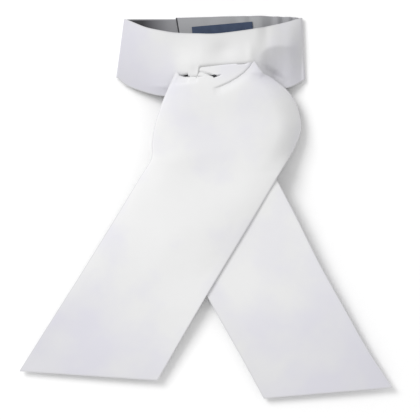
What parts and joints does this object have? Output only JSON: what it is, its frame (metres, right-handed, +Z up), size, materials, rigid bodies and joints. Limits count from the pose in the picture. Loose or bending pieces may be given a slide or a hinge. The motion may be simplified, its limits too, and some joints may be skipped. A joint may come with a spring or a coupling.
{
  "type": "ready-tied stock tie",
  "caption": "White ready-tied stock tie lying on its back: a closed flat neckband with a small tucked knot and wide slant-cut tails that cross and spread.",
  "frame": {"origin": "middle of the whole outline seen from above, on the surface that the tie lies on", "axes": "+Y towards the neckband, the tails spread to -Y, +X to the right as seen from the front, +Z up from the surface"},
  "size_m": [0.3452, 0.3507, 0.0355],
  "materials": {
    "white_cotton": "starched plain weave, matt",
    "hook_and_loop_tape": "hook and loop tape, pressed together",
    "navy_label_weave": "fine damask weave, bare"
  },
  "bodies": {
    "root": {"neckband": "white_cotton", "front_tail": "white_cotton", "back_tail": "white_cotton", "knot_fold": "white_cotton", "touch_fastener": "hook_and_loop_tape", "label": "navy_label_weave"}
  },
  "joints": []
}
